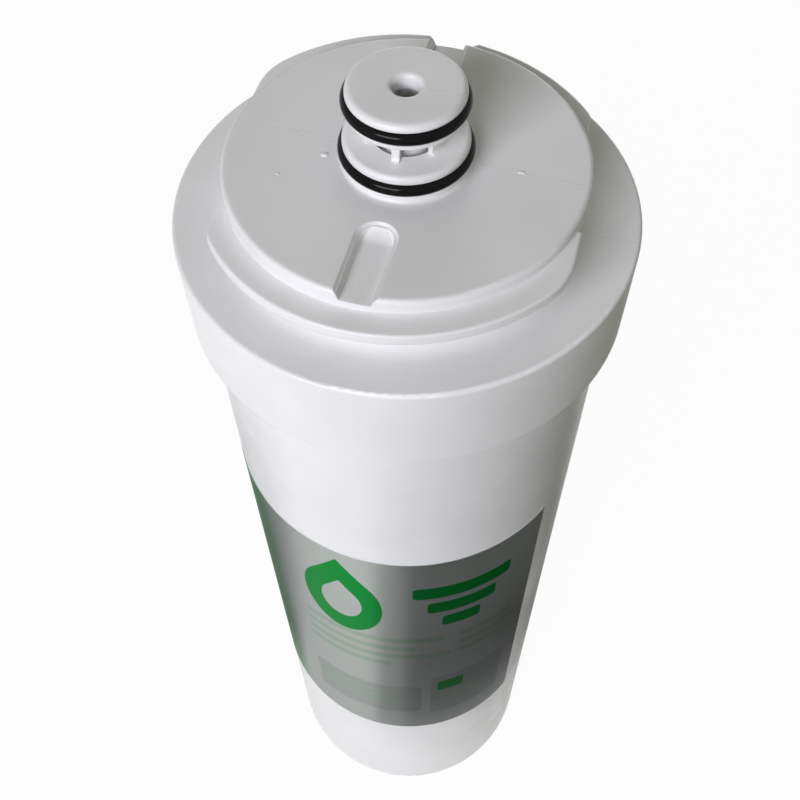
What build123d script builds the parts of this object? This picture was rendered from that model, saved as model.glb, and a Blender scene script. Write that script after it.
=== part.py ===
from build123d import *
import os
from math import atan2, degrees, sqrt

# Sediment filter cartridge with a bayonet head. Millimetres, +Z up.
# The origin is the centre of the base that the cartridge stands on.

# Shell: a deep moulded cup
body_radius = 42.0
shell_wall = 2.6
floor_wall = 3.2
base_round = 8.0           # outer rounding between side wall and base
foot_width = 6.0           # flat ring that the cartridge stands on
base_recess = 1.0          # how far the base lies inside the foot ring
floor_rib_height = 6.0
floor_rib_width = 2.0
floor_rib_count = 4

# Head: collar, neck and plug disc are one moulding
head_wall = 3.0
skirt_wall = 2.9
skirt_gap = 0.1            # weld clearance between skirt and shell
collar_height = 22.0
collar_edge_round = 0.8
disc_radius = 34.1
disc_rise = 12.0           # shoulder to the top of the disc
disc_rim = 4.3             # height of the disc's rim
disc_overhang = 1.1        # disc beyond the neck
disc_edge_round = 0.9
neck_fillet = 4.5          # between neck and shoulder

# Bayonet lugs, two of them, half a turn apart
lug_reach = 4.9            # lug beyond the disc
lug_thickness = 2.2
lug_low_rise = 7.9         # shoulder to the lug's top at its low end
lug_ramp = 1.8             # climb of the lug from its low to its high end
lug_low_end = 30.7         # flat at the low end, off the axis
lug_high_end = 34.1        # flat at the high end, off the axis
lug_back = 8.0             # inner limit of a lug, off the axis
lug_root = 1.0             # how far a lug runs into the neck's wall
lug_corner = 3.0           # rounding at the low end
lug_lead_round = 14.0      # rounding at the high end
lug_edge_round = 0.5
lug_gap = 8.3              # break in the rear lug, under its key slot
lug_gap_chamfer = 1.6      # outer corners of the break

# Key slots in the disc
key_slot_width = 6.9
key_slot_depth = 1.8
key_slot_start = 17.2      # axis to the round inner end
key_slot_draft = 20.0
key_slot_cove = 4.2        # radius of the hollow that climbs to the inner end
key_slot_mouth = 0.5       # break of the slot's upper edge
key_slot_wall = 2.0        # wall that follows the slot under the disc

# Spigot on the disc
spigot_rise = 16.4         # disc to the spigot's top face
spigot_radius = 10.7
spigot_edge_round = 1.2
spigot_dish = 0.2          # sink of the top face towards the outlet
spigot_dish_radius = 8.8
flange_depth = 5.0         # top face to the lip below the upper ring
flange_taper = 0.5
boss_radius = 11.65
boss_rise = 5.7            # disc to the land above the lower ring
boss_edge_round = 0.9
boss_fillet = 0.7
waist_radius = 7.4
waist_fillet = 0.8
waist_wall = 1.2
window_sweep = 47.0        # degrees of waist that each window opens
window_rib = 1.5           # rib between two windows
outlet_radius = 2.5        # mouth in the spigot's top wall
outlet_edge_round = 1.0
outlet_top_wall = 2.9      # wall that the mouth passes through
tube_bore = 3.4            # radius of the outlet tube below the mouth
outlet_wall = 1.4

# Rubber rings on the spigot
ring_section = 2.6
ring_side_gap = 0.1
ring_seat_gap = 0.05
upper_ring_radius = 11.5   # outer radius
upper_ring_drop = 2.8      # spigot's top face to the ring's centre
lower_ring_radius = 12.5   # outer radius
lower_ring_lift = 2.8      # disc to the ring's centre

# Filter element
media_radius = 31.5
media_length = 240.0
core_radius = 14.5
core_wall = 1.6
core_slot_height = 14.0
core_slot_width = 5.0
core_slot_rows = 10
core_slot_columns = 6
element_gap = 0.1          # between pieces of the element that slide together
end_cap_wall = 3.0
end_cap_rim = 8.0          # how far the rim reaches along the media
end_cap_rim_wall = 1.5
plug_depth = 6.0           # end cap's locating ring inside the core
plug_wall = 1.8
stub_radius = 8.0          # lower end cap's stub between the floor ribs
stub_length = 4.0
hub_height = 14.0
hub_wall = 2.0
hub_gap = 0.15             # between outlet tube and hub
hub_seat_depth = 3.0       # counterbore in the hub's mouth for its ring
hub_ring_section = 2.2
tube_end_gap = 1.0         # outlet tube short of the hub's lower end
head_space = 17.0          # upper end cap to the underside of the shoulder

# Label film, wrapped round part of the shell
label_drop = 74.2          # shoulder to the label's top edge
label_height = 127.3
label_thickness = 0.15
label_glue = 0.02
label_start = 165.0        # degrees from +X to its left edge
label_sweep = 170.0

# Heights from the base
element_base = floor_wall + floor_rib_height
media_low = element_base + end_cap_wall
media_high = media_low + media_length
element_top = media_high + end_cap_wall
shell_top = element_top + head_space
shoulder = shell_top + head_wall
disc_top = shoulder + disc_rise
disc_under = disc_top - head_wall
spigot_top = disc_top + spigot_rise
upper_ring_height = spigot_top - upper_ring_drop
lower_ring_height = disc_top + lower_ring_lift
hub_seat = element_top + hub_height - hub_seat_depth
waist_low = disc_top + boss_rise
waist_high = spigot_top - flange_depth - flange_taper
tube_end = media_high + tube_end_gap

# Radii that follow from the ones above
shell_bore = body_radius - shell_wall
skirt_bore = body_radius + skirt_gap
collar_radius = skirt_bore + skirt_wall
neck_radius = disc_radius - disc_overhang
neck_bore = neck_radius - head_wall
lug_radius = disc_radius + lug_reach
passage_radius = waist_radius - waist_wall
tube_radius = tube_bore + outlet_wall
hub_bore = tube_radius + hub_gap
core_bore = core_radius - core_wall
end_cap_radius = media_radius + element_gap + end_cap_rim_wall
ring_half_groove = ring_section / 2 + ring_side_gap
upper_groove_radius = upper_ring_radius - ring_section - ring_seat_gap
lower_groove_radius = lower_ring_radius - ring_section - ring_seat_gap
hub_ring_radius = tube_radius + ring_seat_gap + hub_ring_section
hub_seat_radius = hub_ring_radius + ring_seat_gap
hub_radius = hub_seat_radius + hub_wall


def turned(*corners, sweep=360.0):
    """Turn a closed profile of (radius, height) or (radius, height, rounding) corners about Z."""
    outline = make_face(Polyline(*[corner[:2] for corner in corners], close=True))
    for corner in corners:
        if len(corner) == 3:
            nearest = outline.vertices().sort_by_distance(corner[:2])[0]
            outline = fillet(nearest, corner[2])
    return revolve(Plane.XZ * outline, Axis.Z, sweep)


def rubber_ring(outer_radius, section, height):
    """O-ring of round section, centred on the axis."""
    return Pos(0, 0, height) * Torus(outer_radius - section / 2, section / 2)


def housing_shell():
    """Cup with a rounded base, a recessed underside and floor ribs that carry the element."""
    foot_outer = body_radius - base_round
    foot_inner = foot_outer - foot_width
    inner_round = base_round - shell_wall
    shell = turned(
        (0, base_recess),
        (foot_inner - base_recess, base_recess),
        (foot_inner, 0),
        (body_radius, 0, base_round),
        (body_radius, shell_top),
        (shell_bore, shell_top),
        (shell_bore, floor_wall, inner_round),
        (0, floor_wall),
    )
    rib_start = stub_radius + element_gap
    rib_length = foot_outer - rib_start
    rib_middle = rib_start + rib_length / 2
    rib = Pos(rib_middle, 0, element_base - floor_rib_height / 2) * Box(
        rib_length, floor_rib_width, floor_rib_height
    )
    for turn in range(floor_rib_count):
        shell += Rot(0, 0, turn * 360 / floor_rib_count) * rib
    return shell


def head_moulding():
    """Turned form of the head: skirt, neck, disc, spooled spigot and outlet tube."""
    upper_lip = spigot_top - flange_depth
    mouth_top = spigot_top - spigot_dish
    return turned(
        (outlet_radius, mouth_top, outlet_edge_round),
        (spigot_dish_radius, spigot_top),
        (spigot_radius, spigot_top, spigot_edge_round),
        (spigot_radius, upper_ring_height + ring_half_groove),
        (upper_groove_radius, upper_ring_height + ring_half_groove),
        (upper_groove_radius, upper_ring_height - ring_half_groove),
        (spigot_radius, upper_ring_height - ring_half_groove),
        (spigot_radius, upper_lip),
        (waist_radius, waist_high),
        (waist_radius, waist_low, waist_fillet),
        (boss_radius, waist_low, boss_edge_round),
        (boss_radius, lower_ring_height + ring_half_groove),
        (lower_groove_radius, lower_ring_height + ring_half_groove),
        (lower_groove_radius, lower_ring_height - ring_half_groove),
        (boss_radius, lower_ring_height - ring_half_groove),
        (boss_radius, disc_top, boss_fillet),
        (disc_radius, disc_top, disc_edge_round),
        (disc_radius, disc_top - disc_rim),
        (neck_radius, disc_top - disc_rim),
        (neck_radius, shoulder, neck_fillet),
        (collar_radius, shoulder, collar_edge_round),
        (collar_radius, shoulder - collar_height, collar_edge_round),
        (skirt_bore, shoulder - collar_height),
        (skirt_bore, shell_top),
        (neck_bore, shell_top),
        (neck_bore, disc_under),
        (passage_radius, disc_under),
        (passage_radius, waist_high),
        (tube_radius, waist_high),
        (tube_radius, tube_end),
        (tube_bore, tube_end),
        (tube_bore, mouth_top - outlet_top_wall),
        (outlet_radius, mouth_top - outlet_top_wall),
    )


def bayonet_lug(gap=0.0):
    """Ramped lug on the neck, in front, with a flat at each end and an optional break."""
    span = lug_low_end + lug_high_end
    middle = (lug_high_end - lug_low_end) / 2
    depth = lug_radius - lug_back
    field = Pos(middle, -lug_back - depth / 2) * Rectangle(span, depth)
    outline = (Circle(lug_radius) & field) - Circle(neck_radius - lug_root)
    outer_corners = outline.vertices().sort_by(lambda corner: Vector(corner).length)[-2:]
    for corner, rounding in zip(outer_corners.sort_by(Axis.X), (lug_corner, lug_lead_round)):
        outline = fillet(outline.vertices().sort_by_distance(corner)[0], rounding)
    column = extrude(Pos(0, 0, shoulder) * outline, disc_rise)
    ramp_angle = degrees(atan2(lug_ramp, span))
    slab_height = shoulder + lug_low_rise + lug_ramp / 2 - lug_thickness / 2
    slab = Pos(middle, 0, slab_height) * Rot(0, -ramp_angle, 0) * Box(
        4 * lug_radius, 4 * lug_radius, lug_thickness
    )
    lug = column & slab
    top_face = lug.faces().sort_by(Axis.Z)[-1]
    lug = fillet(top_face.outer_wire().edges(), lug_edge_round)
    if gap:
        lug -= extrude(Pos(0, 0, shoulder) * lug_break(gap), disc_rise)
    return lug


def lug_break(gap):
    """Plan of the break in a lug, flared at the lug's outer edge."""
    flare = gap / 2 + lug_gap_chamfer
    rim = lug_radius - lug_gap_chamfer
    return make_face(
        Polyline(
            (-gap / 2, -lug_back),
            (gap / 2, -lug_back),
            (gap / 2, -rim),
            (flare, -lug_radius),
            (-flare, -lug_radius),
            (-gap / 2, -rim),
            close=True,
        )
    )


def key_slot_field(width, start):
    """Plan of a key slot in front: a round inner end, open past the disc's edge."""
    round_centre = start + width / 2
    length = lug_radius - round_centre
    return Pos(0, -round_centre) * Circle(width / 2) + Pos(0, -round_centre - length / 2) * Rectangle(
        width, length
    )


def key_slot():
    """Drafted slot cut down from the disc's top, with a hollow inner end and a broken edge."""
    plan = Pos(0, 0, disc_top) * key_slot_field(key_slot_width, key_slot_start)
    sides = extrude(plan, key_slot_depth, dir=(0, 0, -1), taper=key_slot_draft)
    floor = disc_top - key_slot_depth
    cove_length = sqrt(key_slot_depth * (2 * key_slot_cove - key_slot_depth))
    cove_foot = key_slot_start + cove_length
    profile = Plane.YZ * make_face(
        Polyline(
            (-cove_foot, floor),
            (-lug_radius, floor),
            (-lug_radius, disc_top),
            (-cove_foot, disc_top),
            close=True,
        )
    )
    hollow = Plane.YZ * (Pos(-cove_foot, floor + key_slot_cove) * Circle(key_slot_cove))
    slope = extrude(profile, key_slot_width, both=True) + extrude(hollow, key_slot_width, both=True)
    wide = key_slot_field(key_slot_width + 2 * key_slot_mouth, key_slot_start - key_slot_mouth)
    mouth = extrude(Pos(0, 0, disc_top) * wide, key_slot_mouth, dir=(0, 0, -1), taper=45)
    return (sides & slope) + mouth


def key_slot_backing():
    """Wall below the disc that follows the slot, out to the neck."""
    width = key_slot_width + 2 * key_slot_wall
    plan = key_slot_field(width, key_slot_start - key_slot_wall) & Circle(neck_bore + head_wall / 2)
    low = disc_top - key_slot_depth - key_slot_wall
    return extrude(Pos(0, 0, low) * plan, disc_under - low + head_wall / 2)


def waist_windows():
    """Openings into the waist, one each side of a rib, in front and behind."""
    inner = (tube_radius + passage_radius) / 2
    rib_angle = degrees(window_rib / waist_radius)
    first = rib_angle / 2
    opening = turned(
        (inner, waist_low),
        (boss_radius, waist_low),
        (boss_radius, waist_high),
        (inner, waist_high),
        sweep=window_sweep,
    )
    starts = [rib + step for rib in (90, 270) for step in (first, -first - window_sweep)]
    return [Rot(0, 0, start) * opening for start in starts]


def head_cap():
    """The whole head as moulded."""
    head = head_moulding()
    for turn, gap in ((0, 0.0), (180, lug_gap)):
        head += Rot(0, 0, turn) * bayonet_lug(gap)
        head += Rot(0, 0, turn) * key_slot_backing()
    for turn in (0, 180):
        head -= Rot(0, 0, turn) * key_slot()
    for window in waist_windows():
        head -= window
    return head


def core_tube():
    """Slotted tube that carries the media."""
    tube = turned(
        (core_bore, media_low),
        (core_radius, media_low),
        (core_radius, media_high),
        (core_bore, media_high),
    )
    pitch = (media_length - 2 * plug_depth) / core_slot_rows
    cutter = Box(3 * core_radius, core_slot_width, core_slot_height)
    for row in range(core_slot_rows):
        height = media_low + plug_depth + (row + 0.5) * pitch
        for column in range(core_slot_columns // 2):
            tube -= Pos(0, 0, height) * Rot(0, 0, column * 360 / core_slot_columns) * cutter
    return tube


def filter_sleeve():
    """Thick melt-blown sleeve on the core."""
    return turned(
        (core_radius + element_gap, media_low),
        (media_radius, media_low),
        (media_radius, media_high),
        (core_radius + element_gap, media_high),
    )


def lower_end_cap():
    """Closed cup under the media, with a stub that the floor ribs centre."""
    plug_radius = core_bore - element_gap
    return turned(
        (0, element_base - stub_length),
        (stub_radius, element_base - stub_length),
        (stub_radius, element_base),
        (end_cap_radius, element_base),
        (end_cap_radius, media_low + end_cap_rim),
        (media_radius + element_gap, media_low + end_cap_rim),
        (media_radius + element_gap, media_low),
        (plug_radius, media_low),
        (plug_radius, media_low + plug_depth),
        (plug_radius - plug_wall, media_low + plug_depth),
        (plug_radius - plug_wall, media_low),
        (0, media_low),
    )


def upper_end_cap():
    """Cup over the media, with the hub that takes the outlet tube."""
    plug_radius = core_bore - element_gap
    return turned(
        (hub_bore, hub_seat),
        (hub_seat_radius, hub_seat),
        (hub_seat_radius, element_top + hub_height),
        (hub_radius, element_top + hub_height),
        (hub_radius, element_top),
        (end_cap_radius, element_top),
        (end_cap_radius, media_high - end_cap_rim),
        (media_radius + element_gap, media_high - end_cap_rim),
        (media_radius + element_gap, media_high),
        (plug_radius, media_high),
        (plug_radius, media_high - plug_depth),
        (plug_radius - plug_wall, media_high - plug_depth),
        (plug_radius - plug_wall, media_high),
        (hub_bore, media_high),
    )


def label_film():
    """Film round part of the shell."""
    inner = body_radius + label_glue
    outer = inner + label_thickness
    high = shoulder - label_drop
    film = turned(
        (inner, high - label_height),
        (outer, high - label_height),
        (outer, high),
        (inner, high),
        sweep=label_sweep,
    )
    return Rot(0, 0, label_start) * film


nodes = {
    "housing_shell": housing_shell(),
    "head_cap": head_cap(),
    "upper_spigot_ring": rubber_ring(upper_ring_radius, ring_section, upper_ring_height),
    "lower_spigot_ring": rubber_ring(lower_ring_radius, ring_section, lower_ring_height),
    "label_film": label_film(),
    "filter_sleeve": filter_sleeve(),
    "core_tube": core_tube(),
    "upper_end_cap": upper_end_cap(),
    "lower_end_cap": lower_end_cap(),
    "hub_ring": rubber_ring(hub_ring_radius, hub_ring_section, hub_seat + hub_ring_section / 2),
}

os.makedirs("parts", exist_ok=True)
for node_name, solid in nodes.items():
    export_step(solid, f"parts/{node_name}.step")
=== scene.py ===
"""Looks of a sediment filter cartridge, laid out as an add-on and run as a script."""

import math

import bmesh
import bpy
from mathutils import Matrix, Vector


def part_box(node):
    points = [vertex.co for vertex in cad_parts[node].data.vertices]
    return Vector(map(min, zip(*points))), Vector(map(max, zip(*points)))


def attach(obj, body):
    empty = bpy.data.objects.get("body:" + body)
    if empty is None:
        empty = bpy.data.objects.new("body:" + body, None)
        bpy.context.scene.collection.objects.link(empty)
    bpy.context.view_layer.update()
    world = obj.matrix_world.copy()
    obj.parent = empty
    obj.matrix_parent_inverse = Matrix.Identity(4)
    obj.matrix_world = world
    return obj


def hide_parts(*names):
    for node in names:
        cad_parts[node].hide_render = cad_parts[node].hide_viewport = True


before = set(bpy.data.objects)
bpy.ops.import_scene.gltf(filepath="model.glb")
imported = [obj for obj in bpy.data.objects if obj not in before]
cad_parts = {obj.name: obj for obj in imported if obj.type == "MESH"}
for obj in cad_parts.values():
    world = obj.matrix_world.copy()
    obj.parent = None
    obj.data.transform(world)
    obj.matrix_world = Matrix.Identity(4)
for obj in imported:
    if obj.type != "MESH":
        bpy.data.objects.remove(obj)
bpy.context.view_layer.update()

bl_info = {
    "name": "Sediment filter cartridge",
    "version": (1, 0, 0),
    "blender": (4, 5, 0),
    "location": "View3D > Sidebar > Cartridge",
    "description": "Moulded white cartridge with a bayonet head, rubber rings and a printed film",
    "category": "Object",
}

BODY = "root"
MM = 0.001
WHITE = (1.0, 1.0, 1.0, 1.0)
DUST_COLOUR = (0.25, 0.23, 0.2, 1.0)

# Places taken from the frame
shell_low, shell_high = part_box("housing_shell")
label_low, label_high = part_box("label_film")
SPIGOT_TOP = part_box("head_cap")[1].z
LABEL_OUTER = -label_low.y

# How finely the pieces are made: gap that a seam closes, angles past which an edge stays crisp, and
# steps along each curve
SEAM = 0.002 * MM
CRISP_EDGE = math.radians(40)
ROUND_EDGE = math.radians(60)
BASE_STEPS = 20
BASE_INNER_STEPS = 12
RING_STEPS = 36
FILM_COLUMNS = 121
FILM_ROWS = 5

# Print on the film: ink, place from its left end, place below its top, half width, half height,
# corner rounding, all in millimetres
PRINT = (
    ("green", 102.3, 17.0, 13.0, 3.2, 1.2),
    ("green", 102.3, 26.4, 9.2, 3.2, 1.2),
    ("green", 102.3, 35.8, 5.2, 3.2, 1.2),
    ("tint", 78.0, 48.5, 20.0, 1.5, 0.7),
    ("tint", 74.0, 54.5, 16.0, 1.5, 0.7),
    ("tint", 79.0, 60.5, 21.0, 1.5, 0.7),
    ("tint", 70.5, 66.5, 12.5, 1.5, 0.7),
    ("tint", 110.5, 48.5, 8.0, 1.5, 0.7),
    ("tint", 111.5, 54.5, 9.0, 1.5, 0.7),
    ("tint", 109.0, 60.5, 6.5, 1.5, 0.7),
    ("dark", 75.0, 99.0, 17.0, 12.0, 2.0),
    ("dark", 107.0, 97.0, 12.0, 17.0, 2.0),
    ("green", 101.0, 88.5, 4.0, 4.0, 1.0),
    ("tint", 111.5, 88.5, 5.0, 0.9, 0.4),
    ("tint", 107.0, 97.5, 9.0, 0.9, 0.4),
    ("tint", 107.0, 102.0, 9.0, 0.9, 0.4),
    ("tint", 75.0, 92.5, 14.0, 0.9, 0.4),
    ("tint", 72.0, 97.0, 11.0, 0.9, 0.4),
    ("tint", 74.0, 101.5, 13.0, 0.9, 0.4),
)

# Shares that mix the other two inks: green in the tinted one, film in the dark one
TINT_SHARE = 0.28
DARK_SHARE = 0.78

# Green band at the film's left end: where it stops and how far it fades, in millimetres, and how much
# of it is ink
BAND_EDGE = 53.0
BAND_FADE = 9.0
BAND_INK = 0.6

# Drop on the film: its place as above, the radii of its bead and its window and the rounding of its
# tip, in millimetres, and how far its height is squeezed where the bead is round
DROP_PLACE = (70.5, 29.0)
DROP_RADIUS = 11.0
DROP_WINDOW = 5.6
DROP_TIP_ROUND = 0.4
DROP_SQUEEZE = 0.62

# Parting line on the head: level, then start and end as places across the axis and below the level,
# in millimetres
PARTING_LINES = (
    ("shoulder", (37.8, 0.5, 0.0), (44.1, 0.5, 0.0)),
    ("disc", (13.0, 1.0, 0.0), (33.1, 0.5, 0.0)),
    ("disc", (-31.0, 1.0, 0.0), (-13.0, 1.2, 0.0)),
    ("spigot", (3.8, -0.6, 0.16), (8.8, -0.6, 0.0)),
    ("spigot", (8.8, -0.6, 0.0), (9.5, -0.6, 0.0)),
)

# Nubs on the disc: place across the axis and half sizes, in millimetres
NUBS = (
    (-14.6, -3.4, 0.75, 0.6, 0.32),
    (21.2, 1.1, 0.8, 0.4, 0.2),
    (-21.4, -10.1, 0.45, 0.3, 0.12),
)

# Lamps: degrees round from the camera's side and above the level, then width and height in metres
LAMP_DISTANCE = 1.5
LAMP_TINT = (0.985, 0.985, 1.09)
KEY_DIRECTION = (-30, 28)
KEY_SIZE = (0.9, 0.5)
FILL_DIRECTION = (172, 12)
FILL_SIZE = (1.0, 0.7)

# Floor and surroundings: half width in metres, colours, and how much of the floor shows plain white
FLOOR_HALF = 3.0
FLOOR_COLOUR = (0.8, 0.8, 0.76, 1.0)
FLOOR_WHITE = 0.96
SKY_COLOUR = (1.0, 0.98, 0.76, 1.0)

# Mats on the floor that show only in reflections: name, first and last heading in degrees from the
# camera's side, and colour, then the radius and height of their two rims in metres, and the degrees
# from one corner of a rim to the next
MATS = (
    ("dark_mat", (-3, 120), (0.035, 0.035, 0.03, 1.0)),
    ("middle_mat", (-21, -3), (0.5, 0.5, 0.48, 1.0)),
    ("grey_mat", (-132, -81), (0.38, 0.38, 0.38, 1.0)),
)
MAT_INNER = (0.064, 0.5 * MM)
MAT_OUTER = (0.2, 0.5 * MM)
CARD_STEP = 3

# Upright card that dims the right of the body and the collar: headings and colour as above, then its
# radius, its foot and its distance below the shoulder in metres
SIDE_CARD_HEADINGS = (-6, 120)
SIDE_CARD_COLOUR = (0.4, 0.4, 0.35, 1.0)
SIDE_CARD_RADIUS = 0.1
SIDE_CARD_FOOT = 0.14
SIDE_CARD_BELOW_SHOULDER = 0.02


class CartridgeSizes(bpy.types.PropertyGroup):
    """Sizes of the pieces that the scene makes."""

    body_radius: bpy.props.FloatProperty(
        name="Body radius", description="Outside of the shell's wall",
        default=shell_high.x, unit="LENGTH", precision=4,
    )
    shell_wall: bpy.props.FloatProperty(
        name="Shell wall", description="Thickness of the shell's wall",
        default=2.6 * MM, unit="LENGTH", precision=4,
    )
    base_thickness: bpy.props.FloatProperty(
        name="Base thickness", description="Foot ring to the floor inside the shell",
        default=3.2 * MM, unit="LENGTH", precision=4,
    )
    base_round: bpy.props.FloatProperty(
        name="Base rounding", description="Rounding between wall and base",
        default=8.0 * MM, unit="LENGTH", precision=4,
    )
    foot_width: bpy.props.FloatProperty(
        name="Foot width", description="Flat ring under the base",
        default=6.0 * MM, unit="LENGTH", precision=4,
    )
    base_recess: bpy.props.FloatProperty(
        name="Base recess", description="Depth of the base inside its foot ring",
        default=1.0 * MM, unit="LENGTH", precision=4,
    )
    spigot_rise: bpy.props.FloatProperty(
        name="Spigot rise", description="Disc to the spigot's top face", default=16.4 * MM, unit="LENGTH"
    )
    disc_rise: bpy.props.FloatProperty(
        name="Disc rise", description="Shoulder to the disc's top", default=12.0 * MM, unit="LENGTH"
    )
    parting_width: bpy.props.FloatProperty(
        name="Parting line width", description="Width of the ridge",
        default=0.22 * MM, unit="LENGTH", precision=5,
    )
    parting_height: bpy.props.FloatProperty(
        name="Parting line height", description="Height of the ridge",
        default=0.05 * MM, unit="LENGTH", precision=5,
    )
    label_thickness: bpy.props.FloatProperty(
        name="Label thickness", description="Thickness of the film",
        default=0.15 * MM, unit="LENGTH", precision=5,
    )
    label_start: bpy.props.FloatProperty(
        name="Label start", description="Left end of the film", subtype="ANGLE", default=math.radians(165.0)
    )
    label_sweep: bpy.props.FloatProperty(
        name="Label sweep", description="Film round the shell", subtype="ANGLE", default=math.radians(170.0)
    )
    segments: bpy.props.IntProperty(
        name="Segments", description="Steps round a turned piece", default=192, min=24
    )


class CartridgeColours(bpy.types.PropertyGroup):
    """Colours of the finishes."""

    plastic: bpy.props.FloatVectorProperty(
        name="Plastic", description="White moulded plastic", subtype="COLOR", size=4,
        default=(0.86, 0.86, 0.85, 1.0),
    )
    rubber: bpy.props.FloatVectorProperty(
        name="Rubber", description="Black rings", subtype="COLOR", size=4,
        default=(0.003, 0.003, 0.003, 1.0),
    )
    film: bpy.props.FloatVectorProperty(
        name="Film", description="Silver-grey field of the label", subtype="COLOR", size=4,
        default=(0.6, 0.635, 0.61, 1.0),
    )
    green: bpy.props.FloatVectorProperty(
        name="Green", description="Green print on the label", subtype="COLOR", size=4,
        default=(0.002, 0.33, 0.05, 1.0),
    )
    media: bpy.props.FloatVectorProperty(
        name="Media", description="Melt-blown sleeve", subtype="COLOR", size=4,
        default=(0.86, 0.85, 0.82, 1.0),
    )
    inner: bpy.props.FloatVectorProperty(
        name="Inner plastic", description="Core and end caps of the element", subtype="COLOR", size=4,
        default=(0.8, 0.81, 0.81, 1.0),
    )


class CartridgeStage(bpy.types.PropertyGroup):
    """Camera and light."""

    azimuth: bpy.props.FloatProperty(
        name="Azimuth", description="Camera round the cartridge", subtype="ANGLE",
        default=math.radians(15.0),
    )
    rise: bpy.props.FloatProperty(
        name="Rise", description="Camera above the shoulder, as an angle", subtype="ANGLE",
        default=math.radians(45.82),
    )
    distance: bpy.props.FloatProperty(
        name="Distance", description="Camera from the shoulder's centre", default=203.13 * MM, unit="LENGTH"
    )
    pitch: bpy.props.FloatProperty(
        name="Pitch", description="How far the camera looks down", subtype="ANGLE",
        default=math.radians(56.57),
    )
    yaw: bpy.props.FloatProperty(
        name="Yaw", description="How far the camera looks aside", subtype="ANGLE", default=-0.01345
    )
    roll: bpy.props.FloatProperty(
        name="Roll", description="Turn of the picture", subtype="ANGLE", default=-0.0162
    )
    lens: bpy.props.FloatProperty(name="Lens", description="Focal length in millimetres", default=46.72)
    key_power: bpy.props.FloatProperty(
        name="Key light", description="Power of the large lamp", subtype="POWER", default=18.6
    )
    fill_power: bpy.props.FloatProperty(
        name="Fill light", description="Power of the soft lamp behind", subtype="POWER", default=4.2
    )
    sky: bpy.props.FloatProperty(name="Sky", description="Light from all round", default=0.13)


def sizes():
    """Sizes of the pieces, as they are set in the scene."""
    return bpy.context.scene.cartridge_sizes


def colours():
    """Colours of the finishes, as they are set in the scene."""
    return bpy.context.scene.cartridge_colours


def shoulder_level():
    """Height of the head's shoulder, below the disc and the spigot."""
    size = sizes()
    return SPIGOT_TOP - size.spigot_rise - size.disc_rise


def shaded(colour, share):
    """A colour made darker or lighter."""
    return (*(share * part for part in colour[:3]), 1.0)


def blended(first, second, share):
    """A colour with a share of a second one in it."""
    return (*((1.0 - share) * one + share * other for one, other in zip(first[:3], second[:3])), 1.0)


def add_object(name, data):
    """A new object in the scene."""
    piece = bpy.data.objects.new(name, data)
    bpy.context.scene.collection.objects.link(piece)
    return piece


def carry(piece, slot, *nodes):
    """Ride on the cartridge's one body in place of these nodes, which are hidden; the slot is not used."""
    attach(piece, BODY)
    if nodes:
        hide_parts(*nodes)


def dress(node, finish):
    """Put a finish on a node that keeps its own shape."""
    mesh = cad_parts[node].data
    mesh.materials.clear()
    mesh.materials.append(finish)


def outward(mesh):
    """Close seams and poles and point the faces outwards."""
    shape = bmesh.new()
    shape.from_mesh(mesh)
    bmesh.ops.remove_doubles(shape, verts=shape.verts, dist=SEAM)
    bmesh.ops.recalc_face_normals(shape, faces=shape.faces)
    shape.to_mesh(mesh)
    shape.free()
    mesh.update()


def smooth(piece, angle):
    """Shade smooth with crisp edges, and let large flat faces keep their own direction."""
    mesh = piece.data
    mesh.polygons.foreach_set("use_smooth", [True] * len(mesh.polygons))
    mesh.set_sharp_from_angle(angle=angle)
    weighted = piece.modifiers.new("Weighted normals", "WEIGHTED_NORMAL")
    weighted.keep_sharp = True
    weighted.weight = 80


class Tree:
    """Short way to place and join nodes."""

    def __init__(self, tree):
        self.nodes = tree.nodes
        self.links = tree.links

    def add(self, kind, **settings):
        node = self.nodes.new(kind)
        for key, value in settings.items():
            setattr(node, key, value)
        return node

    def join(self, source, target):
        self.links.new(source, target)

    def feed(self, node, values):
        """Set or join the inputs of a node by name or place."""
        for key, value in values.items():
            socket = node.inputs[key]
            if isinstance(value, bpy.types.NodeSocket):
                self.join(value, socket)
            else:
                socket.default_value = value

    def math(self, operation, first, second=0.0, third=0.0):
        node = self.add("ShaderNodeMath", operation=operation)
        self.feed(node, {0: first, 1: second, 2: third})
        return node.outputs[0]

    def vector(self, operation, first, second=(0.0, 0.0, 0.0)):
        node = self.add("ShaderNodeVectorMath", operation=operation)
        self.feed(node, {0: first, 1: second})
        return node.outputs["Value" if operation == "LENGTH" else "Vector"]

    def mix(self, factor, first, second):
        """Mix two colours, whose sockets come after those for numbers and vectors."""
        node = self.add("ShaderNodeMix", data_type="RGBA")
        self.feed(node, {0: factor, 6: first, 7: second})
        return node.outputs[2]

    def span(self, value, low, high, to_low=0.0, to_high=1.0):
        """Lead a value softly from one range to another."""
        node = self.add("ShaderNodeMapRange", interpolation_type="SMOOTHSTEP")
        self.feed(node, {"Value": value, "From Min": low, "From Max": high})
        self.feed(node, {"To Min": to_low, "To Max": to_high})
        return node.outputs["Result"]

    def noise(self, place, scale, detail=2.0, roughness=0.5):
        node = self.add("ShaderNodeTexNoise")
        self.feed(node, {"Vector": place, "Scale": scale, "Detail": detail, "Roughness": roughness})
        return node.outputs["Fac"]

    def place(self):
        """Object coordinates of a surface."""
        return self.add("ShaderNodeTexCoord").outputs["Object"]


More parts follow.
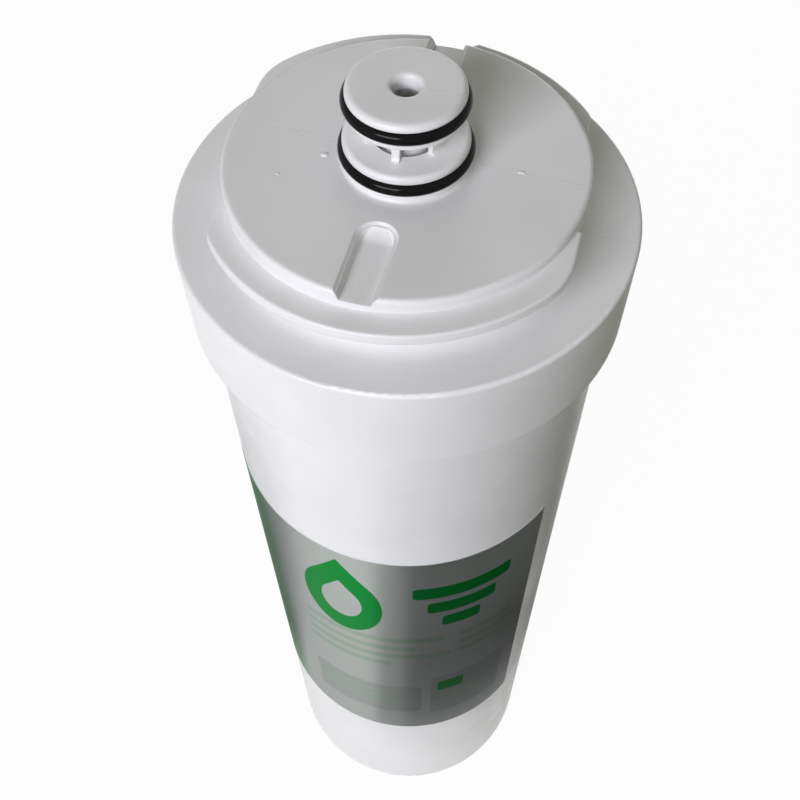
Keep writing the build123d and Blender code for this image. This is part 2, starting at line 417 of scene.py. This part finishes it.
def geometry_tree(name, inputs):
    """A geometry tree with a geometry input and output and further named inputs."""
    tree = bpy.data.node_groups.new(name, "GeometryNodeTree")
    tree.interface.new_socket("Geometry", in_out="INPUT", socket_type="NodeSocketGeometry")
    for label, kind in inputs:
        tree.interface.new_socket(label, in_out="INPUT", socket_type=kind)
    tree.interface.new_socket("Geometry", in_out="OUTPUT", socket_type="NodeSocketGeometry")
    made = Tree(tree)
    return tree, made, made.add("NodeGroupInput"), made.add("NodeGroupOutput")


def run_tree(piece, tree, values):
    """Run a geometry tree on a piece and keep the result as its plain mesh."""
    modifier = piece.modifiers.new(tree.name, "NODES")
    modifier.node_group = tree
    named = {item.name: item.identifier for item in tree.interface.items_tree if item.in_out == "INPUT"}
    for label, value in values.items():
        modifier[named[label]] = value
    bpy.context.view_layer.update()
    evaluated = piece.evaluated_get(bpy.context.evaluated_depsgraph_get())
    baked = bpy.data.meshes.new_from_object(evaluated)
    piece.modifiers.clear()
    piece.data = baked


def weld(nodes, shape):
    """Close the seams of a shape."""
    merged = nodes.add("GeometryNodeMergeByDistance")
    nodes.feed(merged, {"Geometry": shape, "Distance": SEAM})
    return merged.outputs[0]


def close_tree(nodes, shape, finish, result):
    """Realize and dress the shape at the end of a tree."""
    real = nodes.add("GeometryNodeRealizeInstances")
    nodes.join(shape, real.inputs[0])
    dressed = nodes.add("GeometryNodeSetMaterial")
    nodes.feed(dressed, {"Geometry": real.outputs[0], "Material": finish})
    nodes.join(dressed.outputs[0], result.inputs[0])


def lathe_tree():
    """Turn the points of a profile, in order, about the Z axis."""
    found = bpy.data.node_groups.get("lathe")
    if found:
        return found
    tree, nodes, source, result = geometry_tree(
        "lathe", [("Segments", "NodeSocketInt"), ("Finish", "NodeSocketMaterial")]
    )
    count = nodes.add("GeometryNodeAttributeDomainSize")
    nodes.join(source.outputs["Geometry"], count.inputs[0])
    points = count.outputs["Point Count"]
    steps = source.outputs["Segments"]
    grid = nodes.add("GeometryNodeMeshGrid")
    nodes.feed(grid, {"Vertices X": nodes.math("ADD", steps, 1.0), "Vertices Y": points})
    index = nodes.add("GeometryNodeInputIndex").outputs[0]
    row = nodes.math("MODULO", index, points)
    column = nodes.math("FLOOR", nodes.math("DIVIDE", nodes.math("ADD", index, 0.5), points))
    angle = nodes.math("MULTIPLY", column, nodes.math("DIVIDE", math.tau, steps))
    sample = nodes.add("GeometryNodeSampleIndex", data_type="FLOAT_VECTOR", domain="POINT")
    position = nodes.add("GeometryNodeInputPosition").outputs[0]
    nodes.feed(sample, {"Geometry": source.outputs["Geometry"], "Value": position, "Index": row})
    place = nodes.add("ShaderNodeSeparateXYZ")
    nodes.join(sample.outputs[0], place.inputs[0])
    radius = place.outputs["X"]
    turned = nodes.add("ShaderNodeCombineXYZ")
    nodes.feed(turned, {
        "X": nodes.math("MULTIPLY", radius, nodes.math("COSINE", angle)),
        "Y": nodes.math("MULTIPLY", radius, nodes.math("SINE", angle)),
        "Z": place.outputs["Z"],
    })
    moved = nodes.add("GeometryNodeSetPosition")
    nodes.feed(moved, {"Geometry": grid.outputs["Mesh"], "Position": turned.outputs[0]})
    close_tree(nodes, weld(nodes, moved.outputs[0]), source.outputs["Finish"], result)
    return tree


def wrap_tree():
    """A film wrapped round the Z axis, with its own flat coordinates in millimetres."""
    tree, nodes, source, result = geometry_tree("wrap", [
        ("Radius", "NodeSocketFloat"),
        ("Thickness", "NodeSocketFloat"),
        ("Start", "NodeSocketFloat"),
        ("Sweep", "NodeSocketFloat"),
        ("Low", "NodeSocketFloat"),
        ("Height", "NodeSocketFloat"),
        ("Finish", "NodeSocketMaterial"),
    ])
    given = source.outputs
    grid = nodes.add("GeometryNodeMeshGrid")
    nodes.feed(grid, {"Size X": 1.0, "Size Y": 1.0, "Vertices X": FILM_COLUMNS, "Vertices Y": FILM_ROWS})
    place = nodes.add("ShaderNodeSeparateXYZ")
    nodes.join(nodes.add("GeometryNodeInputPosition").outputs[0], place.inputs[0])
    along = nodes.math("ADD", place.outputs["X"], 0.5)
    above = nodes.math("ADD", place.outputs["Y"], 0.5)
    flat = nodes.add("ShaderNodeCombineXYZ")
    outer = nodes.math("ADD", given["Radius"], given["Thickness"])
    length = nodes.math("MULTIPLY", nodes.math("MULTIPLY", given["Sweep"], outer), 1.0 / MM)
    height = nodes.math("MULTIPLY", given["Height"], 1.0 / MM)
    nodes.feed(flat, {
        "X": nodes.math("MULTIPLY", along, length),
        "Y": nodes.math("MULTIPLY", nodes.math("SUBTRACT", 1.0, above), height),
    })
    stored = nodes.add("GeometryNodeStoreNamedAttribute", data_type="FLOAT2", domain="CORNER")
    nodes.feed(stored, {"Geometry": grid.outputs["Mesh"], "Name": "print", "Value": flat.outputs[0]})
    angle = nodes.math("ADD", given["Start"], nodes.math("MULTIPLY", along, given["Sweep"]))
    turned = nodes.add("ShaderNodeCombineXYZ")
    nodes.feed(turned, {
        "X": nodes.math("MULTIPLY", given["Radius"], nodes.math("COSINE", angle)),
        "Y": nodes.math("MULTIPLY", given["Radius"], nodes.math("SINE", angle)),
        "Z": nodes.math("ADD", given["Low"], nodes.math("MULTIPLY", above, given["Height"])),
    })
    skin = nodes.add("GeometryNodeSetPosition")
    nodes.feed(skin, {"Geometry": stored.outputs[0], "Position": turned.outputs[0]})
    raised = nodes.add("GeometryNodeExtrudeMesh", mode="FACES")
    nodes.feed(raised, {"Mesh": skin.outputs[0], "Offset Scale": given["Thickness"], "Individual": False})
    back = nodes.add("GeometryNodeFlipFaces")
    nodes.join(skin.outputs[0], back.inputs[0])
    both = nodes.add("GeometryNodeJoinGeometry")
    nodes.join(raised.outputs["Mesh"], both.inputs[0])
    nodes.join(back.outputs[0], both.inputs[0])
    close_tree(nodes, weld(nodes, both.outputs[0]), given["Finish"], result)
    return tree


def ridge_tree():
    """A low ridge along each edge of a mesh."""
    tree, nodes, source, result = geometry_tree("ridge", [
        ("Width", "NodeSocketFloat"), ("Height", "NodeSocketFloat"), ("Finish", "NodeSocketMaterial"),
    ])
    given = source.outputs
    path = nodes.add("GeometryNodeMeshToCurve")
    nodes.join(given["Geometry"], path.inputs["Mesh"])
    ring = nodes.add("GeometryNodeCurvePrimitiveCircle")
    nodes.feed(ring, {"Resolution": 12, "Radius": 1.0})
    spread = nodes.add("ShaderNodeCombineXYZ")
    nodes.feed(spread, {"X": nodes.math("MULTIPLY", given["Width"], 0.5), "Y": given["Height"], "Z": 1.0})
    section = nodes.add("GeometryNodeTransform")
    nodes.feed(section, {"Geometry": ring.outputs["Curve"], "Scale": spread.outputs[0]})
    swept = nodes.add("GeometryNodeCurveToMesh")
    nodes.feed(swept, {"Curve": path.outputs[0], "Profile Curve": section.outputs[0], "Fill Caps": True})
    close_tree(nodes, weld(nodes, swept.outputs[0]), given["Finish"], result)
    return tree


def nub_tree():
    """A low dome at each point, as large as the point says."""
    tree, nodes, source, result = geometry_tree("nub", [("Finish", "NodeSocketMaterial")])
    given = source.outputs
    dome = nodes.add("GeometryNodeMeshUVSphere")
    nodes.feed(dome, {"Segments": 24, "Rings": 12, "Radius": 1.0})
    measure = nodes.add("GeometryNodeInputNamedAttribute", data_type="FLOAT_VECTOR")
    measure.inputs["Name"].default_value = "size"
    placed = nodes.add("GeometryNodeInstanceOnPoints")
    nodes.feed(placed, {"Points": given["Geometry"], "Instance": dome.outputs["Mesh"]})
    nodes.join(measure.outputs[0], placed.inputs["Scale"])
    close_tree(nodes, placed.outputs[0], given["Finish"], result)
    return tree


def turn_piece(name, profile, finish):
    """A closed turned piece from (radius, height) points."""
    mesh = bpy.data.meshes.new(name)
    mesh.from_pydata([(radius, 0.0, height) for radius, height in profile], [], [])
    piece = add_object(name, mesh)
    run_tree(piece, lathe_tree(), {"Segments": sizes().segments, "Finish": finish})
    outward(piece.data)
    return piece


def arc(centre, radius, start, end, steps):
    """Points of an arc, angles in degrees."""
    turns = [math.radians(start + (end - start) * step / steps) for step in range(steps + 1)]
    return [(centre[0] + radius * math.cos(turn), centre[1] + radius * math.sin(turn)) for turn in turns]


def shader_group(name, inputs, outputs):
    """A shader group with named inputs (name, kind, default) and outputs (name, kind)."""
    tree = bpy.data.node_groups.new(name, "ShaderNodeTree")
    for label, kind, default in inputs:
        socket = tree.interface.new_socket(label, in_out="INPUT", socket_type=kind)
        if default is not None:
            socket.default_value = default
    for label, kind in outputs:
        tree.interface.new_socket(label, in_out="OUTPUT", socket_type=kind)
    made = Tree(tree)
    return tree, made, made.add("NodeGroupInput"), made.add("NodeGroupOutput")


def moulded_skin_group():
    """Cloudy tone, sparse dust and fine orange peel of moulded plastic."""
    found = bpy.data.node_groups.get("moulded skin")
    if found:
        return found
    tree, nodes, given, result = shader_group(
        "moulded skin",
        [
            ("Place", "NodeSocketVector", None),
            ("Colour", "NodeSocketColor", (0.8, 0.8, 0.8, 1.0)),
            ("Dust", "NodeSocketFloat", 0.5),
            ("Roughness", "NodeSocketFloat", 0.4),
        ],
        [
            ("Colour", "NodeSocketColor"),
            ("Roughness", "NodeSocketFloat"),
            ("Height", "NodeSocketFloat"),
        ],
    )
    place = given.outputs["Place"]
    tone = nodes.span(nodes.noise(place, scale=38.0, detail=3.0), 0.3, 0.7, to_low=0.965, to_high=1.02)
    toned = nodes.vector("SCALE", given.outputs["Colour"])
    nodes.feed(toned.node, {"Scale": tone})
    cells = nodes.add("ShaderNodeTexVoronoi", feature="F1")
    nodes.feed(cells, {"Vector": place, "Scale": 95.0, "Randomness": 1.0})
    chance = nodes.add("ShaderNodeSeparateColor")
    nodes.join(cells.outputs["Color"], chance.inputs[0])
    rare = nodes.math("GREATER_THAN", chance.outputs[0], 0.93)
    grain = nodes.math("MULTIPLY_ADD", chance.outputs[1], 0.035, 0.012)
    speck = nodes.math("MULTIPLY", nodes.math("LESS_THAN", cells.outputs["Distance"], grain), rare)
    dust = nodes.math("MULTIPLY", speck, given.outputs["Dust"])
    nodes.join(nodes.mix(dust, toned, DUST_COLOUR), result.inputs["Colour"])
    sheen = nodes.span(nodes.noise(place, scale=140.0), 0.3, 0.7, to_low=-0.05, to_high=0.05)
    nodes.join(nodes.math("ADD", given.outputs["Roughness"], sheen), result.inputs["Roughness"])
    peel = nodes.noise(place, scale=900.0)
    wave = nodes.noise(place, scale=60.0, detail=1.0)
    nodes.join(nodes.math("MULTIPLY_ADD", wave, 2.5, peel), result.inputs["Height"])
    return tree


def new_finish(name):
    """An empty material with its Principled shader."""
    finish = bpy.data.materials.new(name)
    finish.use_nodes = True
    return finish, Tree(finish.node_tree), finish.node_tree.nodes["Principled BSDF"]


def direct_ray(nodes):
    """Mask of what is seen straight, in a reflection or through a clear piece."""
    path = nodes.add("ShaderNodeLightPath")
    direct = nodes.math("MAXIMUM", path.outputs["Is Camera Ray"], path.outputs["Is Glossy Ray"])
    return nodes.math("MAXIMUM", direct, path.outputs["Is Transmission Ray"])


def bump(nodes, shader, height, strength, distance, edge=0.0):
    """Relief on a finish, and edges that catch the light as if slightly rounded."""
    node = nodes.add("ShaderNodeBump")
    nodes.feed(node, {"Height": height, "Strength": strength, "Distance": distance})
    if edge:
        rounded = nodes.add("ShaderNodeBevel", samples=4)
        nodes.feed(rounded, {"Radius": edge})
        nodes.join(rounded.outputs[0], node.inputs["Normal"])
    nodes.join(node.outputs[0], shader.inputs["Normal"])


def moulded_finish(name, colour, roughness, dust, relief):
    """White plastic as it comes from a mould."""
    found = bpy.data.materials.get(name)
    if found:
        return found
    finish, nodes, shader = new_finish(name)
    skin = nodes.add("ShaderNodeGroup", node_tree=moulded_skin_group())
    nodes.feed(skin, {"Place": nodes.place(), "Colour": tuple(colour)})
    nodes.feed(skin, {"Dust": dust, "Roughness": roughness})
    nodes.join(skin.outputs["Colour"], shader.inputs["Base Color"])
    nodes.join(skin.outputs["Roughness"], shader.inputs["Roughness"])
    bump(nodes, shader, skin.outputs["Height"], strength=relief, distance=0.02 * MM, edge=0.25 * MM)
    nodes.feed(shader, {"IOR": 1.49, "Subsurface Weight": 0.12, "Subsurface Scale": 1.5 * MM})
    nodes.feed(shader, {"Subsurface Radius": (1.0, 0.95, 0.9)})
    return finish


def white_plastic():
    """Finish of the shell and the head."""
    return moulded_finish("moulded_white", colours().plastic, roughness=0.34, dust=0.6, relief=0.25)


def rubber_finish():
    """Black rubber with a soft bloom and fine grain."""
    found = bpy.data.materials.get("ring_rubber")
    if found:
        return found
    finish, nodes, shader = new_finish("ring_rubber")
    place = nodes.place()
    bloom = nodes.span(nodes.noise(place, scale=220.0, detail=3.0), 0.45, 0.75)
    black = tuple(colours().rubber)
    nodes.join(nodes.mix(bloom, black, shaded(black, 2.0)), shader.inputs["Base Color"])
    nodes.join(nodes.span(bloom, 0.0, 1.0, to_low=0.12, to_high=0.18), shader.inputs["Roughness"])
    bump(nodes, shader, nodes.noise(place, scale=2500.0), strength=0.12, distance=0.01 * MM)
    nodes.feed(shader, {"Specular IOR Level": 0.09})
    return finish


def print_mask_group():
    """Mask of one rounded rectangle, sizes in millimetres."""
    found = bpy.data.node_groups.get("print mask")
    if found:
        return found
    tree, nodes, given, result = shader_group(
        "print mask",
        [
            ("Place", "NodeSocketVector", None),
            ("Centre", "NodeSocketVector", None),
            ("Half size", "NodeSocketVector", None),
            ("Corner", "NodeSocketFloat", 0.0),
        ],
        [("Mask", "NodeSocketFloat")],
    )
    offset = nodes.vector("SUBTRACT", given.outputs["Place"], given.outputs["Centre"])
    away = nodes.vector("ABSOLUTE", offset)
    corner = nodes.add("ShaderNodeCombineXYZ")
    for axis in ("X", "Y"):
        nodes.join(given.outputs["Corner"], corner.inputs[axis])
    inner = nodes.vector("SUBTRACT", given.outputs["Half size"], corner.outputs[0])
    past = nodes.vector("LENGTH", nodes.vector("MAXIMUM", nodes.vector("SUBTRACT", away, inner)))
    over = nodes.math("SUBTRACT", past, given.outputs["Corner"])
    nodes.join(nodes.span(over, -0.04, 0.12, 1.0, 0.0), result.inputs["Mask"])
    return tree


def print_mask(nodes, place, centre, half, corner):
    """Mask of a rounded rectangle on the film."""
    group = nodes.add("ShaderNodeGroup", node_tree=print_mask_group())
    nodes.feed(group, {"Place": place, "Corner": corner})
    nodes.feed(group, {"Centre": (*centre, 0.0), "Half size": (*half, 0.0)})
    return group.outputs["Mask"]


def drop_mask(nodes, place, radius):
    """Mask of an upright drop: a round bead with a corner above it."""
    centre = (DROP_PLACE[0], DROP_PLACE[1] * DROP_SQUEEZE)
    tall = nodes.vector("MULTIPLY", place, (1.0, DROP_SQUEEZE, 1.0))
    bead = print_mask(nodes, tall, centre, (radius, radius), radius)
    spin = nodes.add("ShaderNodeVectorRotate", rotation_type="Z_AXIS")
    nodes.feed(spin, {"Vector": tall, "Center": (*centre, 0.0), "Angle": math.radians(45.0)})
    tip_centre = (centre[0] + radius / 2, centre[1] - radius / 2)
    tip = print_mask(nodes, spin.outputs[0], tip_centre, (radius / 2, radius / 2), DROP_TIP_ROUND)
    return nodes.math("MAXIMUM", bead, tip)


def film_finish():
    """Silver film with green, tinted and darker print."""
    finish, nodes, shader = new_finish("printed_film")
    place = nodes.add("ShaderNodeUVMap", uv_map="print").outputs[0]
    film = tuple(colours().film)
    green = tuple(colours().green)
    inks = {
        "green": green,
        "tint": blended(film, green, TINT_SHARE),
        "dark": shaded(film, DARK_SHARE),
    }
    brushed = nodes.vector("MULTIPLY", place, (0.12, 2.2, 1.0))
    grain = nodes.noise(brushed, scale=1.0, detail=3.0, roughness=0.6)
    flake = nodes.noise(place, scale=14.0, detail=1.0)
    buckle = nodes.noise(place, scale=0.08, detail=1.0)
    colour = nodes.mix(grain, shaded(film, 0.9), film)
    across = nodes.add("ShaderNodeSeparateXYZ")
    nodes.join(place, across.inputs[0])
    fade = (BAND_EDGE - BAND_FADE, BAND_EDGE)
    inked = nodes.span(across.outputs["X"], *fade, to_low=BAND_INK, to_high=0.0)
    colour = nodes.mix(inked, colour, inks["green"])
    for ink, along, below, half_width, half_height, corner in PRINT:
        mask = print_mask(nodes, place, (along, below), (half_width, half_height), corner)
        colour = nodes.mix(mask, colour, inks[ink])
        if ink == "green":
            inked = nodes.math("MAXIMUM", mask, inked)
    window = drop_mask(nodes, place, DROP_WINDOW)
    drop = nodes.math("SUBTRACT", drop_mask(nodes, place, DROP_RADIUS), window)
    colour = nodes.mix(drop, colour, inks["green"])
    inked = nodes.math("MAXIMUM", drop, inked)
    nodes.join(colour, shader.inputs["Base Color"])
    nodes.join(nodes.span(inked, 0.0, 1.0, to_low=0.97, to_high=0.93), shader.inputs["Metallic"])
    nodes.feed(shader, {"Specular IOR Level": 0.1, "Specular Tint": (0.5, 0.5, 0.5, 1.0)})
    sheen = nodes.span(grain, 0.2, 0.8, to_low=0.27, to_high=0.35)
    nodes.join(nodes.math("MULTIPLY_ADD", flake, 0.04, sheen), shader.inputs["Roughness"])
    bump(nodes, shader, nodes.math("MULTIPLY_ADD", buckle, 20.0, flake), strength=0.15, distance=0.02 * MM)
    return finish


def media_finish():
    """Melt-blown fibre."""
    finish, nodes, shader = new_finish("fibre")
    fibre = nodes.noise(nodes.place(), scale=700.0, detail=6.0, roughness=0.7)
    white = tuple(colours().media)
    nodes.join(nodes.mix(fibre, shaded(white, 0.8), white), shader.inputs["Base Color"])
    nodes.join(nodes.span(fibre, 0.2, 0.8, to_low=0.95, to_high=0.8), shader.inputs["Roughness"])
    bump(nodes, shader, fibre, strength=0.8, distance=0.3 * MM)
    return finish


class CARTRIDGE_OT_shell(bpy.types.Operator):
    """Turn the shell with its rounded base and recessed underside"""

    bl_idname = "cartridge.shell"
    bl_label = "Shell"

    def execute(self, context):
        size = sizes()
        radius = size.body_radius
        bore = radius - size.shell_wall
        foot_outer = radius - size.base_round
        foot_inner = foot_outer - size.foot_width
        floor = shell_low.z + size.base_thickness
        top = shell_high.z
        recess = shell_low.z + size.base_recess
        inner_round = size.base_round - size.shell_wall
        outside = arc((foot_outer, shell_low.z + size.base_round), size.base_round, -90, 0, BASE_STEPS)
        inside = arc((bore - inner_round, floor + inner_round), inner_round, 0, -90, BASE_INNER_STEPS)
        profile = [(0.0, recess), (foot_inner - size.base_recess, recess), (foot_inner, shell_low.z)]
        profile += outside
        profile += [(radius, top), (bore, top)]
        profile += inside
        profile += [(0.0, floor)]
        shell = turn_piece("shell", profile, white_plastic())
        smooth(shell, CRISP_EDGE)
        carry(shell, "white_plastic", "housing_shell")
        return {"FINISHED"}


class CARTRIDGE_OT_head(bpy.types.Operator):
    """Finish the moulded head"""

    bl_idname = "cartridge.head"
    bl_label = "Head"

    def execute(self, context):
        dress("head_cap", white_plastic())
        return {"FINISHED"}


class CARTRIDGE_OT_parting_line(bpy.types.Operator):
    """Add the fine parting line that the mould left on the head"""

    bl_idname = "cartridge.parting_line"
    bl_label = "Parting line"

    def execute(self, context):
        size = sizes()
        shoulder = shoulder_level()
        levels = {"shoulder": shoulder, "disc": shoulder + size.disc_rise, "spigot": SPIGOT_TOP}
        points = []
        edges = []
        for level, *ends in PARTING_LINES:
            edges.append((len(points), len(points) + 1))
            points += [(x * MM, y * MM, levels[level] - drop * MM) for x, y, drop in ends]
        mesh = bpy.data.meshes.new("parting_line")
        mesh.from_pydata(points, edges, [])
        line = add_object("parting_line", mesh)
        run_tree(line, ridge_tree(), {
            "Width": size.parting_width,
            "Height": size.parting_height,
            "Finish": white_plastic(),
        })
        outward(line.data)
        smooth(line, ROUND_EDGE)
        carry(line, "white_plastic")
        return {"FINISHED"}


class CARTRIDGE_OT_nubs(bpy.types.Operator):
    """Add the small nubs that the mould left on the disc"""

    bl_idname = "cartridge.nubs"
    bl_label = "Nubs"

    def execute(self, context):
        disc = shoulder_level() + sizes().disc_rise
        mesh = bpy.data.meshes.new("nubs")
        mesh.from_pydata([(nub[0] * MM, nub[1] * MM, disc) for nub in NUBS], [], [])
        measure = mesh.attributes.new("size", "FLOAT_VECTOR", "POINT")
        for place, nub in zip(measure.data, NUBS):
            place.vector = [part * MM for part in nub[2:]]
        nubs = add_object("nubs", mesh)
        run_tree(nubs, nub_tree(), {"Finish": white_plastic()})
        outward(nubs.data)
        smooth(nubs, ROUND_EDGE)
        carry(nubs, "white_plastic")
        return {"FINISHED"}


class CARTRIDGE_OT_rings(bpy.types.Operator):
    """Turn the two rubber rings of the spigot"""

    bl_idname = "cartridge.rings"
    bl_label = "Spigot rings"

    def execute(self, context):
        for node in ("upper_spigot_ring", "lower_spigot_ring"):
            low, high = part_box(node)
            section = (high.z - low.z) / 2
            centre = (high.x - section, (low.z + high.z) / 2)
            profile = arc(centre, section, 0, 360, RING_STEPS)
            ring = turn_piece(node.replace("_spigot", ""), profile, rubber_finish())
            smooth(ring, ROUND_EDGE)
            carry(ring, "black_rubber", node)
        return {"FINISHED"}


class CARTRIDGE_OT_label(bpy.types.Operator):
    """Wrap the printed film round the shell"""

    bl_idname = "cartridge.label"
    bl_label = "Label film"

    def execute(self, context):
        size = sizes()
        mesh = bpy.data.meshes.new("label")
        label = add_object("label", mesh)
        run_tree(label, wrap_tree(), {
            "Radius": LABEL_OUTER - size.label_thickness,
            "Thickness": size.label_thickness,
            "Start": size.label_start,
            "Sweep": size.label_sweep,
            "Low": label_low.z,
            "Height": label_high.z - label_low.z,
            "Finish": film_finish(),
        })
        outward(label.data)
        smooth(label, CRISP_EDGE)
        carry(label, "label_print", "label_film")
        return {"FINISHED"}


class CARTRIDGE_OT_element(bpy.types.Operator):
    """Finish the sealed filter element"""

    bl_idname = "cartridge.element"
    bl_label = "Filter element"

    def execute(self, context):
        inner = moulded_finish("moulded_inner", colours().inner, roughness=0.45, dust=0.0, relief=0.2)
        finishes = {
            "filter_sleeve": media_finish(),
            "core_tube": inner,
            "upper_end_cap": inner,
            "lower_end_cap": inner,
            "hub_ring": rubber_finish(),
        }
        for node, finish in finishes.items():
            dress(node, finish)
        return {"FINISHED"}


class CARTRIDGE_OT_stage(bpy.types.Operator):
    """Set the floor, the light and the camera"""

    bl_idname = "cartridge.stage"
    bl_label = "Stage"

    def execute(self, context):
        scene = context.scene
        stage = scene.cartridge_stage
        scene.view_settings.view_transform = "Standard"
        shoulder = Vector((0.0, 0.0, shoulder_level()))
        self.floor()
        self.world(scene, stage)
        for name, headings, colour in MATS:
            mat = self.card(name, stage.azimuth, headings, MAT_INNER, MAT_OUTER, colour)
            mat.visible_diffuse = False
        foot = (SIDE_CARD_RADIUS, SIDE_CARD_FOOT)
        top = (SIDE_CARD_RADIUS, shoulder.z - SIDE_CARD_BELOW_SHOULDER)
        self.card("side_card", stage.azimuth, SIDE_CARD_HEADINGS, foot, top, SIDE_CARD_COLOUR)
        self.lamp("key", shoulder, stage.azimuth, KEY_DIRECTION, KEY_SIZE, stage.key_power)
        self.lamp("fill", shoulder, stage.azimuth, FILL_DIRECTION, FILL_SIZE, stage.fill_power)
        self.camera(scene, stage, shoulder)
        return {"FINISHED"}

    def floor(self):
        """A floor that looks plain white and throws the light of the lamps back."""
        sides = ((-1, -1), (1, -1), (1, 1), (-1, 1))
        mesh = bpy.data.meshes.new("floor")
        mesh.from_pydata([(x * FLOOR_HALF, y * FLOOR_HALF, 0.0) for x, y in sides], [], [(0, 1, 2, 3)])
        floor = add_object("floor", mesh)
        paper, nodes, shader = new_finish("floor_paper")
        nodes.feed(shader, {"Base Color": FLOOR_COLOUR, "Roughness": 0.9})
        seen = nodes.add("ShaderNodeEmission")
        nodes.feed(seen, {"Color": WHITE, "Strength": 1.0})
        share = nodes.math("MULTIPLY", direct_ray(nodes), FLOOR_WHITE)
        blend = nodes.add("ShaderNodeMixShader")
        nodes.feed(blend, {0: share, 1: shader.outputs[0], 2: seen.outputs[0]})
        nodes.join(blend.outputs[0], paper.node_tree.nodes["Material Output"].inputs["Surface"])
        mesh.materials.append(paper)

    def card(self, name, azimuth, headings, inner, outer, colour):
        """A curved card between two rims, each (radius, height), out of the camera's sight."""
        first, last = headings
        degrees = range(first, last + 1, CARD_STEP)
        turns = [azimuth + math.radians(degree - 90.0) for degree in degrees]
        corners = []
        for radius, height in (inner, outer):
            corners += [(radius * math.cos(turn), radius * math.sin(turn), height) for turn in turns]
        count = len(turns)
        faces = [(step, step + 1, count + step + 1, count + step) for step in range(count - 1)]
        mesh = bpy.data.meshes.new(name)
        mesh.from_pydata(corners, [], faces)
        card = add_object(name, mesh)
        card.visible_camera = False
        card.visible_shadow = False
        felt, nodes, shader = new_finish(name)
        nodes.feed(shader, {"Base Color": colour, "Roughness": 1.0})
        mesh.materials.append(felt)
        return card

    def world(self, scene, stage):
        """Dim light from all round, which looks plain white."""
        world = bpy.data.worlds.new("studio")
        scene.world = world
        world.use_nodes = True
        nodes = Tree(world.node_tree)
        around = world.node_tree.nodes["Background"]
        nodes.feed(around, {"Color": SKY_COLOUR, "Strength": stage.sky})
        seen = nodes.add("ShaderNodeBackground")
        nodes.feed(seen, {"Color": WHITE, "Strength": 1.0})
        blend = nodes.add("ShaderNodeMixShader")
        nodes.feed(blend, {0: direct_ray(nodes), 1: around.outputs[0], 2: seen.outputs[0]})
        nodes.join(blend.outputs[0], world.node_tree.nodes["World Output"].inputs["Surface"])

    def lamp(self, name, aim, azimuth, direction, size, power):
        """A soft lamp; direction is degrees from the camera's side and above the level."""
        side = azimuth + math.radians(direction[0])
        rise = math.radians(direction[1])
        back = Vector((math.sin(side) * math.cos(rise), -math.cos(side) * math.cos(rise), math.sin(rise)))
        data = bpy.data.lights.new(name, "AREA")
        data.shape = "RECTANGLE"
        data.size, data.size_y = size
        data.energy = power
        data.color = LAMP_TINT
        lamp = add_object(name, data)
        lamp.location = aim + back * LAMP_DISTANCE
        lamp.rotation_mode = "QUATERNION"
        lamp.rotation_quaternion = (-back).to_track_quat("-Z", "Y")

    def camera(self, scene, stage, shoulder):
        """The camera of the photograph, by its place, its turn and its lens."""
        data = bpy.data.cameras.new("camera")
        data.lens = stage.lens
        data.sensor_width = 36.0
        data.clip_start = 0.01
        forward = Vector((
            math.sin(stage.yaw) * math.cos(stage.pitch),
            math.cos(stage.yaw) * math.cos(stage.pitch),
            -math.sin(stage.pitch),
        ))
        level = forward.cross(Vector((0.0, 0.0, 1.0))).normalized()
        upright = level.cross(forward)
        right = level * math.cos(stage.roll) + upright * math.sin(stage.roll)
        up = upright * math.cos(stage.roll) - level * math.sin(stage.roll)
        turn = Matrix.Rotation(stage.azimuth, 3, "Z")
        axes = turn @ Matrix((right, up, -forward)).transposed()
        reach = Vector((0.0, -math.cos(stage.rise), math.sin(stage.rise))) * stage.distance
        camera = add_object("camera", data)
        camera.matrix_world = Matrix.Translation(shoulder + turn @ reach) @ axes.to_4x4()
        scene.camera = camera


class CARTRIDGE_PT_panel(bpy.types.Panel):
    """Sizes, colours and steps of the cartridge"""

    bl_idname = "CARTRIDGE_PT_panel"
    bl_label = "Filter cartridge"
    bl_space_type = "VIEW_3D"
    bl_region_type = "UI"
    bl_category = "Cartridge"

    def draw(self, context):
        for group in GROUPS:
            holder = getattr(context.scene, group)
            box = self.layout.box()
            for key in holder.__annotations__:
                box.prop(holder, key)
        for step in STEPS:
            self.layout.operator(step.bl_idname)


STEPS = (
    CARTRIDGE_OT_shell,
    CARTRIDGE_OT_head,
    CARTRIDGE_OT_parting_line,
    CARTRIDGE_OT_nubs,
    CARTRIDGE_OT_rings,
    CARTRIDGE_OT_label,
    CARTRIDGE_OT_element,
    CARTRIDGE_OT_stage,
)
GROUPS = {
    "cartridge_sizes": CartridgeSizes,
    "cartridge_colours": CartridgeColours,
    "cartridge_stage": CartridgeStage,
}


def register():
    for holder in (*GROUPS.values(), *STEPS, CARTRIDGE_PT_panel):
        bpy.utils.register_class(holder)
    for name, holder in GROUPS.items():
        setattr(bpy.types.Scene, name, bpy.props.PointerProperty(type=holder))


def unregister():
    for name in GROUPS:
        delattr(bpy.types.Scene, name)
    for holder in (CARTRIDGE_PT_panel, *reversed(STEPS), *GROUPS.values()):
        bpy.utils.unregister_class(holder)


def main():
    register()
    bpy.ops.cartridge.shell()
    bpy.ops.cartridge.head()
    bpy.ops.cartridge.parting_line()
    bpy.ops.cartridge.nubs()
    bpy.ops.cartridge.rings()
    bpy.ops.cartridge.label()
    bpy.ops.cartridge.element()
    bpy.ops.cartridge.stage()


if __name__ == "__main__":
    main()
